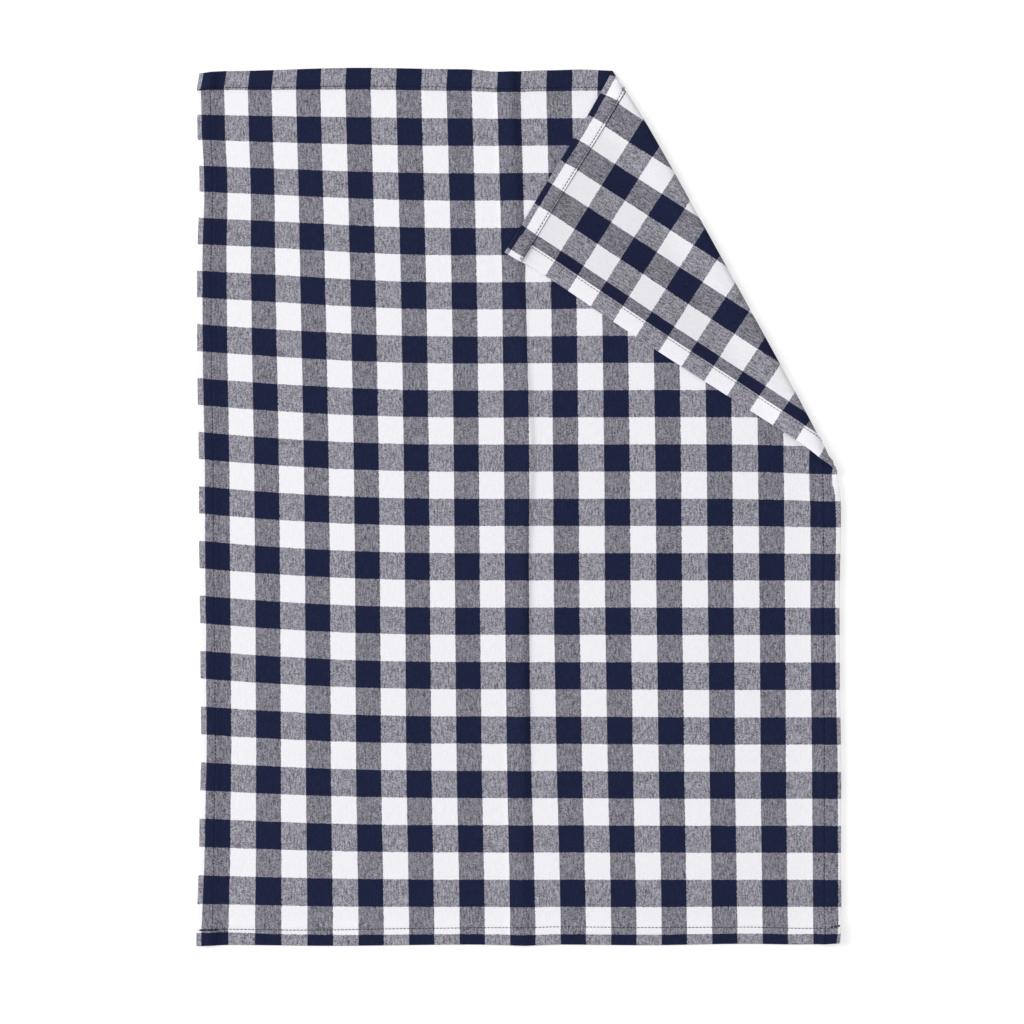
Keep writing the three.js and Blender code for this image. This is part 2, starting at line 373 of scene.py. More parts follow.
class StageSizes(PropertyGroup):
    """The floor, the light and the camera"""

    floor: size("Floor", "Side of the floor", 16000)
    grain: size("Grain", "Size of the floor's faint grain", 2)
    view: size("View", "Width of the floor in the picture", 811.4)
    camera_height: size("Camera height", "Height of the camera over the floor", 2200)
    view_left: size("View left", "How far the view lies left of the towel's middle", 5.5)
    view_down: size("View down", "How far the view lies towards the towel's foot", 4)
    key_distance: size("Key distance", "From the towel to the key light", 7000)
    key_size: size("Key size", "Width of the key light", 4900)
    key_from: FloatVectorProperty(
        name="Key from",
        description="Direction from the towel to the key light",
        default=(-0.84, 0.27, 0.47),
        subtype="DIRECTION",
    )
    key_power: FloatProperty(
        name="Key power", description="Power of the key light", default=466, min=0, unit="POWER"
    )
    fill: share_of("Fill", "Strength of the even light from all round", 0.7)
    glow: share_of("Glow", "How far the floor is lit from below", 0.54)


class TowelSettings(PropertyGroup):
    """All that a user may change on the towel and its stage"""

    cloth: PointerProperty(type=ClothSizes)
    fold: PointerProperty(type=FoldSizes)
    check: PointerProperty(type=CheckSizes)
    seam: PointerProperty(type=SeamSizes)
    colours: PointerProperty(type=TowelColours)
    stage: PointerProperty(type=StageSizes)


def settings():
    """The towel's settings in this scene."""
    return bpy.context.scene.tea_towel


def ease(value, low, high):
    """0 below low and 1 above high, with a smooth climb between them."""
    part = np.clip((value - low) / (high - low), 0, 1)
    return part * part * (3 - 2 * part)


def fade(distance, reach):
    """1 at an edge, falling to 0 at the reach, level where it ends."""
    return np.clip(1 - distance / reach, 0, None) ** 2


def along(rows, column, share):
    """Reads one column of a short table at shares of the way, easing from row to row."""
    shares = np.array([row["share"] for row in rows], float)
    values = np.array([row[column] for row in rows], float)
    share = np.clip(share, shares[0], shares[-1])
    after = np.clip(np.searchsorted(shares, share), 1, len(rows) - 1)
    part = ease(share, shares[after - 1], shares[after])
    return values[after - 1] + (values[after] - values[after - 1]) * part


def lay(across, up):
    """Where points of the flat cloth lie on the table, before the corner is folded."""
    cloth = settings().cloth
    share = up / cloth.length
    lean = TOP_LEAN * share**2 + FOOT_LEAN * fade(share, FOOT_SHARE)
    near_left = fade(across, LEFT_EDGE_REACH * MM)
    offset = lean + (along(LEFT_EDGE, "right", share) - lean) * near_left

    crease = along(CREASE, "across", share) * MM
    right_part = np.clip((across - crease) / (cloth.width - crease), 0, 1)
    taken = CREASE_TAKE * ease(across, crease, crease + CREASE_RIGHT * MM)
    offset = offset + (RIGHT_SPREAD * right_part - taken) * ease(share, 0, RIGHT_SPREAD_SHARE)
    from_right = cloth.width - across
    offset = offset + along(RIGHT_EDGE, "right", share) * fade(from_right, EDGE_REACH * MM)
    offset = offset + along(RIGHT_HEM, "right", share) * fade(from_right, HEM_REACH * MM)

    belly = np.clip(np.sin(np.pi * share), 0, None) ** SIDE_RISE_POWER
    rise = SIDE_RISE * fade(across, SIDE_RISE_REACH * MM) * belly
    from_top = cloth.length - up
    rise = rise + along(TOP_EDGE, "up", across / cloth.width) * fade(from_top, EDGE_REACH * MM)
    rise = rise + along(TOP_HEM, "up", across / cloth.width) * fade(from_top, HEM_REACH * MM)
    rise = rise + along(FOOT_EDGE, "up", across / cloth.width) * fade(up, EDGE_REACH * MM)
    return across - cloth.width / 2 + offset * MM, up - cloth.length / 2 + rise * MM


def slipped(rows, across, up):
    """How far the slips of a table take the weave right and up."""
    right, rise = np.zeros_like(across), np.zeros_like(across)
    for slip in rows:
        beside = (across / MM - slip["across"]) / slip["wide"]
        above = (up / MM - slip["up"]) / slip["tall"]
        part = np.exp(-(beside**2) - above**2) * MM
        right = right + slip["right"] * part
        rise = rise + slip["rise"] * part
    return right, rise


def weave_drift(across, up):
    """How far the weave has slipped right and up, in the flat cloth and past its fold."""
    cloth, check = settings().cloth, settings().check
    run = fold_place(across, up)[2]
    near = 1 - ease(run, 0, check.slip_fade)
    change = turn_length() / 5
    past = ease(run, -change, change)
    right, rise = slipped(WEAVE_SLIPS, across, up)
    flap_right, flap_rise = slipped(FLAP_SLIPS, across, up)
    right = right + check.hem_slant * np.clip(1 - (cloth.length - up) / cloth.hem_top, 0, 1)
    rise = rise - check.row_slip
    return right * near + flap_right * past, rise * near + flap_rise * past


def crease_height(across, up):
    """Height of the crease's ridge over points of the flat cloth."""
    share = up / settings().cloth.length
    off = across / MM - along(CREASE, "across", share)
    part = np.clip(np.where(off < 0, -off / CREASE_LEFT, off / CREASE_RIGHT), 0, 1)
    return along(CREASE, "high", share) * MM * 0.5 * (1 + np.cos(np.pi * part))


def side_layers(across):
    """Layers of cloth at a place across the towel: three in the side hems, else one."""
    cloth = settings().cloth
    left = 1 - ease(across, cloth.hem_left - MM, cloth.hem_left + cloth.hem_slope)
    from_right = cloth.width - across
    right = 1 - ease(from_right, cloth.hem_right - MM, cloth.hem_right + cloth.hem_slope)
    return 1 + 2 * (left + right)


def in_end_hems(up):
    """1 in the foot and top hems, easing to 0 beside them."""
    cloth = settings().cloth
    foot = 1 - ease(up, cloth.hem_foot - MM, cloth.hem_foot + cloth.hem_slope)
    return foot + 1 - ease(cloth.length - up, cloth.hem_top - MM, cloth.hem_top + cloth.hem_slope)


def layers_under(across, up):
    """Height that the turned layers under the front take up."""
    layers = side_layers(across)
    return settings().cloth.layer_step * (layers - 1 + 2 * layers * in_end_hems(up))


def edge_radius(layers):
    """Radius of the turn at a finished edge, for the front of that many layers."""
    return settings().cloth.layer_step * (3 * layers - 1) / 2


def turn_hem(from_edge, width, layers, level):
    """Follows the cloth round a double hem, by its flat distance in from the finished edge.

    It gives the distance in from that edge where each point ends up, and its level against
    the front. Points at a level already are in layers that are turned together."""
    step = settings().cloth.layer_step
    edge = edge_radius(layers)
    inner = step * (2 * layers - 1) / 2
    beyond = edge - from_edge
    flat = width - edge - inner
    edge_turn = np.clip(beyond / edge, 0, np.pi)
    inner_turn = np.clip((beyond - np.pi * edge - flat) / inner, 0, np.pi)
    on_hem = np.clip(beyond - np.pi * edge, 0, flat)
    on_lip = np.clip(beyond - np.pi * edge - flat - np.pi * inner, 0, None)

    inward = edge - np.clip(beyond, None, 0) - (edge + level) * np.sin(edge_turn) + on_hem
    height = (edge + level) * np.cos(edge_turn) - edge
    lip_inward = width - inner + (inner + level) * np.sin(inner_turn) - on_lip
    lip_height = -step * (4 * layers - 1) / 2 - (inner + level) * np.cos(inner_turn)
    turned_in = inner_turn > 0
    return np.where(turned_in, lip_inward, inward), np.where(turned_in, lip_height, height)


def hem_up(flat_across, flat_up):
    """Turns the hems of the cut cloth: first its sides, then its foot and top over them."""
    cloth = settings().cloth
    none = np.zeros_like(flat_across)
    left, left_level = turn_hem(flat_across, cloth.hem_left, none + 1, none)
    right, right_level = turn_hem(cloth.width - flat_across, cloth.hem_right, none + 1, none)
    on_left = flat_across < cloth.width / 2
    across = np.where(on_left, left, cloth.width - right)
    level = np.where(on_left, left_level, right_level)

    layers = side_layers(across)
    foot, foot_level = turn_hem(flat_up, cloth.hem_foot, layers, level)
    top, top_level = turn_hem(cloth.length - flat_up, cloth.hem_top, layers, level)
    low = flat_up < cloth.length / 2
    return across, np.where(low, foot, cloth.length - top), np.where(low, foot_level, top_level)


def near_upper_end(beside):
    """1 at the fold's upper end, falling to 0 along it."""
    fold = settings().fold
    return fade(np.clip(fold.middle + fold.half - beside, 0, None), fold.press_reach)


def softness(beside):
    """Share of its full size that the fold's turn has, less where its upper end is pressed."""
    return 1 - settings().fold.press * near_upper_end(beside)


def fold_place(across, up):
    """Places across and along the fold: the turn's start, the way along, and the run past it."""
    cloth, fold = settings().cloth, settings().fold
    x, y = lay(across, up)
    cos, sin = math.cos(fold.facing), math.sin(fold.facing)
    past = x * cos + y * sin
    beside = y * cos - x * sin
    from_middle = np.clip(np.abs(beside - fold.middle) / fold.half, 0, 1)
    from_swell = beside - fold.middle + fold.half - fold.swell_from
    swell = fold.swell * np.exp(-((from_swell / fold.swell_reach) ** 2))
    recess = fold.end_recess * from_middle**4 + fold.press_recess * near_upper_end(beside)
    start = fold.reach - fold.deep * softness(beside) - cloth.thickness / 2 - recess + swell
    return start, beside, past - start


def turn_length():
    """Length of cloth in the fold's full turn, half an oval."""
    fold = settings().fold
    return math.pi * math.hypot(fold.deep, fold.high) / math.sqrt(2)


def fold_section(run, beside):
    """The fold's section: flat cloth, half an oval, then the flap that comes down.

    It gives the way out from the turn's start, the height, and how far the front has turned."""
    cloth, fold = settings().cloth, settings().fold
    soft = softness(beside)
    length = turn_length() * soft
    fall = 2 * fold.high * soft - cloth.thickness - fold.flap_gap
    swing = np.clip(run / length, 0, 1) * np.pi
    back = np.clip(run - length, 0, None)
    part = np.clip(back / fold.flap_ease, 0, 1)
    slope = fall * 6 * part * (1 - part) / fold.flap_ease
    out = np.clip(run, None, 0) + fold.deep * soft * np.sin(swing) - back
    high = fold.high * soft * (1 - np.cos(swing)) - fall * part * part * (3 - 2 * part)
    turn = np.arctan2(fold.high * np.sin(swing), fold.deep * np.cos(swing))
    return out, high, turn + np.arctan(slope)


def seam_wander(across, up):
    """How far the foot or the top seam wanders, whichever is nearer, at places across the towel."""
    cloth = settings().cloth
    foot = along(FOOT_SEAM, "up", across / cloth.width)
    top = along(TOP_SEAM, "up", across / cloth.width)
    return np.where(up < cloth.length / 2, foot, top) * MM


def seam_pinch(across, up):
    """How far a seam draws its hem together, as a share of the height of three layers."""
    cloth, seam = settings().cloth, settings().seam
    left = np.abs(across - cloth.hem_left + seam.inset)
    right = np.abs(cloth.width - across - cloth.hem_right + seam.inset)
    level_up = up - seam_wander(across, up)
    foot = np.abs(level_up - cloth.hem_foot + seam.inset)
    top = np.abs(cloth.length - level_up - cloth.hem_top + seam.inset)
    side_groove = np.exp(-((np.minimum(left, right) / seam.groove) ** 2)) * (1 - in_end_hems(up))
    end_groove = np.exp(-((np.minimum(foot, top) / seam.groove) ** 2))
    return seam.pinch * np.maximum(side_groove, end_groove)


def towel_points(across, up, level, above=0):
    """Places on the towel, as it lies, of points at a level against its front layer.

    Points above a layer keep their height over it where a seam draws the layers together."""
    cloth, fold = settings().cloth, settings().fold
    start, beside, run = fold_place(across, up)
    out, high, turn = fold_section(run, beside)
    turned = np.clip(turn / np.pi, 0, 1)
    offset = layers_under(across, up) * (1 - turned) + level
    # A seam draws a thick corner in no further than a plain hem
    drawn = np.clip(offset, -2 * cloth.layer_step, 2 * cloth.layer_step)
    offset = offset - drawn * seam_pinch(across, up) + above
    past = start + out - offset * np.sin(turn)

    from_tip = np.hypot(cloth.width - across, cloth.length - up)
    edge_lift = cloth.edge_lift * fade(cloth.width - across, cloth.edge_reach)
    lift = crease_height(across, up) + edge_lift
    lift = lift * (1 - turned) + fold.tip_lift * fade(from_tip, fold.tip_reach) * turned
    cos, sin = math.cos(fold.facing), math.sin(fold.facing)
    x = past * cos - beside * sin
    y = past * sin + beside * cos
    under_stitch = settings().seam.thread * (0.5 + STITCH_RAISE)
    z = under_stitch + cloth.thickness / 2 + high + offset * np.cos(turn) + lift
    return np.stack([x, y, z], axis=1)


def rim_shift():
    """The shift that sets the middle of the towel's outline over the middle of its solid."""
    cloth = settings().cloth
    share = np.linspace(0, 1, 200)
    none = np.zeros_like(share)
    across = np.concatenate([none, none + cloth.width, share * cloth.width, share * cloth.width])
    up = np.concatenate([share * cloth.length, share * cloth.length, none, none + cloth.length])
    points = towel_points(across, up, np.zeros_like(across))
    middle = (points.min(axis=0) + points.max(axis=0)) / 2
    low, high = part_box(NODE)
    solid_middle = (low + high) / 2
    return np.array([solid_middle.x - middle[0], solid_middle.y - middle[1], 0])


def lines(first, last, step):
    """Even lines from first to last, no further apart than the step."""
    count = max(1, math.ceil((last - first) / step - 1e-6))
    return list(np.linspace(first, last, count + 1))


def hem_lines(hem, layers):
    """Mesh lines of a hem, by flat distance in from the finished edge, from the lip inwards."""
    cloth = settings().cloth
    step = cloth.layer_step
    edge = edge_radius(layers)
    inner = step * (2 * layers - 1) / 2
    turned = [edge - np.pi * edge * part for part in np.linspace(0, 1, EDGE_LINES)]
    hem_end = turned[-1] - (hem - edge - inner)
    inside = [hem_end - np.pi * inner * part for part in np.linspace(0, 1, INNER_LINES)]
    on_hem = lines(hem_end, turned[-1], cloth.mesh_step)[1:-1]
    lip = [inside[-1] - cloth.hem_lip]
    slope = [hem + cloth.hem_slope * part for part in SLOPE_PARTS]
    seam = settings().seam
    groove = [hem - seam.inset + seam.groove * part for part in GROOVE_PARTS]
    under = [hem_end + seam.inset - seam.groove * part for part in GROOVE_PARTS]
    return sorted(lip + inside + on_hem + turned + slope + groove + under)


def end_lines(hem):
    """Mesh lines of a foot or top hem, with those for the thick corners over a side hem."""
    merged = []
    for line in sorted(hem_lines(hem, 1) + hem_lines(hem, 3)):
        if not merged or line - merged[-1] > LINE_GAP * MM:
            merged.append(line)
    return merged


def select_only(piece):
    """Makes one object the selected and active one."""
    bpy.ops.object.select_all(action="DESELECT")
    piece.select_set(True)
    bpy.context.view_layer.objects.active = piece


def mark_reverse(piece, on_reverse):
    """Keeps with each point of a piece whether it belongs to the towel's reverse."""
    side = piece.data.attributes.new(REVERSE, "FLOAT", "POINT")
    side.data.foreach_set("value", on_reverse.astype(np.float32))


def node(tree, kind, links=None, **values):
    """Adds a shader node of a kind with its settings, and links or sets its inputs."""
    made = tree.nodes.new("ShaderNode" + kind)
    for name, value in values.items():
        setattr(made, name, value)
    for socket, value in (links or {}).items():
        if isinstance(value, bpy.types.NodeSocket):
            tree.links.new(value, made.inputs[socket])
        else:
            made.inputs[socket].default_value = value
    return made


def new_material(name):
    """An empty node material with its output, and the tree to fill."""
    material = bpy.data.materials.new(name)
    material.use_nodes = True
    material.node_tree.nodes.clear()
    return material, material.node_tree


def cotton_gingham():
    """Plain-woven cotton: matt and soft, with slubby yarns that speckle the mixed checks."""
    check, colours = settings().check, settings().colours
    material, tree = new_material("cotton_gingham_plain_woven")
    flat = node(tree, "UVMap", uv_map=CLOTH_MAP).outputs["UV"]

    # What shows at each crossing of two yarns is left to chance. The real yarns are about half
    # as wide, and are drawn coarser here so that their speckle shows in the picture.
    pitch = (check.yarn, check.yarn, 1)
    yarns = node(tree, "VectorMath", {0: flat, 1: pitch}, operation="DIVIDE").outputs[0]
    crossing = node(tree, "VectorMath", {0: yarns}, operation="FLOOR").outputs[0]
    chance = node(tree, "TexWhiteNoise", {"Vector": crossing}, noise_dimensions="2D")

    # The yarns wander a little and the checks' edges step from yarn to yarn
    patches = {"Vector": flat, "Scale": 1 / check.wander_patch, "Detail": 1.0}
    wander = node(tree, "TexNoise", patches)
    sways = ((wander.outputs["Color"], check.wander), (chance.outputs["Color"], check.edge_step))
    cloth_at = flat
    for off, reach in sways:
        about = {0: off, 1: (0.5, 0.5, 0.5)}
        centred = node(tree, "VectorMath", about, operation="SUBTRACT").outputs[0]
        sway = node(tree, "VectorMath", {0: centred, "Scale": reach}, operation="SCALE").outputs[0]
        cloth_at = node(tree, "VectorMath", {0: cloth_at, 1: sway}, operation="ADD").outputs[0]

    # Navy columns of warp and navy rows of weft, by turns with white ones
    first = (check.left_strip, check.foot_strip, 0)
    ruled = node(tree, "VectorMath", {0: cloth_at, 1: first}, operation="SUBTRACT").outputs[0]
    one_check = (check.across, check.up, 1)
    counted = node(tree, "VectorMath", {0: ruled, 1: one_check}, operation="DIVIDE").outputs[0]
    count = node(tree, "SeparateXYZ", {0: counted}).outputs
    column = node(tree, "Math", {0: count["X"], 1: 2.0}, operation="FLOORED_MODULO").outputs[0]
    row = node(tree, "Math", {0: count["Y"], 1: 2.0}, operation="FLOORED_MODULO").outputs[0]
    navy_warp = node(tree, "Math", {0: column, 1: 1.0}, operation="LESS_THAN").outputs[0]
    navy_weft = node(tree, "Math", {0: row, 1: 1.0}, operation="GREATER_THAN").outputs[0]

    # Thick and thin places draw the warp yarns out as short streaks
    streaks = (check.yarn / check.slub_width, check.yarn / check.slub, 1)
    drawn = node(tree, "VectorMath", {0: yarns, 1: streaks}, operation="MULTIPLY").outputs[0]
    plain = {"Vector": drawn, "Scale": 1.0, "Detail": 0.0}
    slub = node(tree, "TexNoise", plain, noise_dimensions="2D").outputs[0]
    summed = {0: slub, 1: SLUB_SHARE, 2: chance.outputs["Value"]}
    uneven = node(tree, "Math", summed, operation="MULTIPLY_ADD").outputs[0]
    middle = 0.5 + 0.5 * SLUB_SHARE
    level = node(tree, "Math", {0: uneven, 1: middle}, operation="SUBTRACT").outputs[0]

    # The speckle is strong where warp and weft differ, weak in navy and hardly there in white
    differ = node(tree, "Math", {0: navy_warp, 1: navy_weft}, operation="SUBTRACT").outputs[0]
    mixed = node(tree, "Math", {0: differ}, operation="ABSOLUTE").outputs[0]
    both = node(tree, "Math", {0: navy_warp, 1: navy_weft}, operation="MULTIPLY").outputs[0]
    in_mixed = {0: mixed, 1: SPECKLE_MIXED, 2: SPECKLE_WHITE}
    depth = node(tree, "Math", in_mixed, operation="MULTIPLY_ADD").outputs[0]
    in_navy = {0: both, 1: SPECKLE_NAVY, 2: depth}
    depth = node(tree, "Math", in_navy, operation="MULTIPLY_ADD").outputs[0]
    speckle = node(tree, "Math", {0: level, 1: depth, 2: 1.0}, operation="MULTIPLY_ADD").outputs[0]
    speckle = node(tree, "Math", {0: speckle, 1: SPECKLE_DARKEST}, operation="MAXIMUM").outputs[0]

    # Painted shade: the reverse, which shows only on the folded flap, is darkened a little to stand
    # in for the flap taking less light
    reverse = node(tree, "Attribute", attribute_name=REVERSE).outputs["Fac"]
    painted_shade_terms = {0: reverse, 1: -REVERSE_PAINTED_SHADE, 2: 1.0}
    painted_shade = node(tree, "Math", painted_shade_terms, operation="MULTIPLY_ADD").outputs[0]
    shade = node(tree, "Math", {0: speckle, 1: painted_shade}, operation="MULTIPLY").outputs[0]

    on_white = {0: navy_warp, 6: (*colours.white, 1), 7: (*colours.navy_warp, 1)}
    on_navy = {0: navy_warp, 6: (*colours.white_warp, 1), 7: (*colours.navy, 1)}
    white_row = node(tree, "Mix", on_white, data_type="RGBA").outputs[2]
    navy_row = node(tree, "Mix", on_navy, data_type="RGBA").outputs[2]
    by_row = {0: navy_weft, 6: white_row, 7: navy_row}
    gingham = node(tree, "Mix", by_row, data_type="RGBA").outputs[2]
    tinted = node(tree, "VectorMath", {0: gingham, "Scale": shade}, operation="SCALE").outputs[0]
    weave = node(tree, "Bump", {"Strength": 0.35, "Distance": YARN_RELIEF * MM, "Height": uneven})
    finish = {
        "Base Color": tinted,
        "Roughness": 0.92,
        "Specular IOR Level": 0.12,
        "Sheen Weight": 0.03,
        "Sheen Roughness": 0.5,
        "Normal": weave.outputs[0],
    }
    cotton = node(tree, "BsdfPrincipled", finish).outputs[0]
    node(tree, "OutputMaterial", {"Surface": cotton})
    return material


def sewing_thread():
    """Spun sewing thread: navy on the front, grey on the reverse, finely mottled by its twist."""
    seam, colours = settings().seam, settings().colours
    material, tree = new_material("spun_sewing_thread")
    reverse = node(tree, "Attribute", attribute_name=REVERSE).outputs["Fac"]
    dyes = {0: reverse, 6: (*colours.thread, 1), 7: (*colours.bobbin, 1)}
    dyed = node(tree, "Mix", dyes, data_type="RGBA").outputs[2]
    place = node(tree, "TexCoord").outputs["Object"]
    strands = {"Vector": place, "Scale": 1 / seam.thread, "Detail": 2.0}
    twist = node(tree, "TexNoise", strands).outputs[0]
    mottle = {0: twist, 1: TWIST_DEPTH, 2: 1 - TWIST_DEPTH / 2}
    shade = node(tree, "Math", mottle, operation="MULTIPLY_ADD").outputs[0]
    tinted = node(tree, "VectorMath", {0: dyed, "Scale": shade}, operation="SCALE").outputs[0]
    finish = {"Base Color": tinted, "Roughness": 0.8, "Specular IOR Level": 0.15}
    thread = node(tree, "BsdfPrincipled", finish).outputs[0]
    node(tree, "OutputMaterial", {"Surface": thread})
    return material


def lit_table():
    """Matt white table lit from below: pale and even, and it takes the depth out of shadows."""
    stage, colours = settings().stage, settings().colours
    material, tree = new_material("matt_white_lit_table")
    place = node(tree, "TexCoord").outputs["Object"]
    specks = {"Vector": place, "Scale": 1 / stage.grain, "Detail": 2.0}
    grain = node(tree, "TexNoise", specks).outputs[0]
    mottle = {0: grain, 1: GRAIN_DEPTH, 2: 1 - GRAIN_DEPTH / 2}
    shade = node(tree, "Math", mottle, operation="MULTIPLY_ADD").outputs[0]
    bare = tuple(colours.floor)
    tinted = node(tree, "VectorMath", {0: bare, "Scale": shade}, operation="SCALE").outputs[0]
    finish = {
        "Base Color": tinted,
        "Roughness": 0.95,
        "Specular IOR Level": 0.1,
        "Emission Color": (*colours.glow, 1),
        "Emission Strength": stage.glow,
    }
    table = node(tree, "BsdfPrincipled", finish).outputs[0]
    node(tree, "OutputMaterial", {"Surface": table})
    return material


class TOWEL_OT_cloth(Operator):
    """Lays out the cut cloth, turns its hems, folds its corner over and gives it its thickness"""

    bl_idname = "tea_towel.cloth"
    bl_label = "Towel Cloth"

    def execute(self, context):
        piece = self.flat_sheet()
        self.rule_fold(piece)
        self.shape(piece)
        select_only(piece)
        thicken = piece.modifiers.new("cloth_thickness", "SOLIDIFY")
        thicken.thickness = settings().cloth.thickness
        thicken.offset = 0
        front_points = len(piece.data.vertices)
        bpy.ops.object.modifier_apply(modifier=thicken.name)
        if piece.modifiers:
            raise RuntimeError("the cloth could not be given its thickness")
        bpy.ops.object.shade_smooth()
        mark_reverse(piece, np.arange(len(piece.data.vertices)) >= front_points)
        piece.data.materials.append(cotton_gingham())
        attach(piece, BODY)
        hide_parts(NODE)
        return {"FINISHED"}

    def flat_sheet(self):
        """The cut cloth, flat, with mesh lines along its hems and closer ones by the crease."""
        cloth = settings().cloth
        crease = [row["across"] * MM for row in CREASE]
        fine_from = min(crease) - CREASE_LEFT * MM
        fine_to = max(crease) + CREASE_RIGHT * MM
        left = hem_lines(cloth.hem_left, 1)
        right = sorted(cloth.width - line for line in hem_lines(cloth.hem_right, 1))
        columns = (
            left
            + lines(left[-1], fine_from, cloth.mesh_step)[1:]
            + lines(fine_from, fine_to, cloth.crease_step)[1:]
            + lines(fine_to, right[0], cloth.mesh_step)[1:-1]
            + right
        )
        foot = end_lines(cloth.hem_foot)
        top = sorted(cloth.length - line for line in end_lines(cloth.hem_top))
        rows = foot + lines(foot[-1], top[0], cloth.mesh_step)[1:-1] + top

        bpy.ops.object.select_all(action="DESELECT")
        bpy.ops.mesh.primitive_grid_add(
            x_subdivisions=len(columns) - 1, y_subdivisions=len(rows) - 1, size=1
        )
        piece = bpy.context.object
        piece.name = "towel_cloth"
        mesh = piece.data
        mesh.name = "towel_cloth"
        if len(mesh.vertices) != len(columns) * len(rows):
            raise RuntimeError("the grid has another number of lines than the cloth asks for")
        places = np.zeros(len(mesh.vertices) * 3)
        mesh.vertices.foreach_get("co", places)
        places = places.reshape(-1, 3)
        column = np.rint((places[:, 0] + 0.5) * (len(columns) - 1)).astype(int)
        row = np.rint((places[:, 1] + 0.5) * (len(rows) - 1)).astype(int)
        places[:, 0] = np.array(columns)[column]
        places[:, 1] = np.array(rows)[row]
        mesh.vertices.foreach_set("co", places.ravel())
        mesh.update()
        return piece

    def rule_fold(self, piece):
        """Cuts mesh lines across the flat cloth along the fold, close together in its turn."""
        cloth, fold = settings().cloth, settings().fold
        share = np.linspace(0.4, 1, 400)
        whole = np.ones_like(share)
        top_run = fold_place(share * cloth.width, whole * cloth.length)[2]
        side_run = fold_place(whole * cloth.width, share * cloth.length)[2]
        top_end = Vector((np.interp(0, top_run, share) * cloth.width, cloth.length, 0))
        side_end = Vector((cloth.width, np.interp(0, side_run, share) * cloth.length, 0))
        line = (side_end - top_end).normalized()
        facing = Vector((-line.y, line.x, 0))

        select_only(piece)
        bpy.ops.object.mode_set(mode="EDIT")
        for run in lines(-2 * fold.turn_step, turn_length() + 4 * fold.turn_step, fold.turn_step):
            bpy.ops.mesh.select_all(action="SELECT")
            bpy.ops.mesh.bisect(plane_co=top_end + facing * run, plane_no=facing)
        bpy.ops.object.mode_set(mode="OBJECT")

    def shape(self, piece):
        """Keeps the flat places as the map of the weave, then lays the cloth as it is folded."""
        mesh = piece.data
        flat = np.zeros(len(mesh.vertices) * 3)
        mesh.vertices.foreach_get("co", flat)
        flat = flat.reshape(-1, 3)
        corner = np.zeros(len(mesh.loops), int)
        mesh.loops.foreach_get("vertex_index", corner)
        weave_map = mesh.uv_layers[0]
        weave_map.name = CLOTH_MAP
        weave = flat[:, :2] - np.stack(weave_drift(flat[:, 0], flat[:, 1]), axis=1)
        weave_map.uv.foreach_set("vector", weave[corner].astype(np.float32).ravel())
        laid = towel_points(*hem_up(flat[:, 0], flat[:, 1])) + rim_shift()
        mesh.vertices.foreach_set("co", laid.ravel())
        mesh.update()


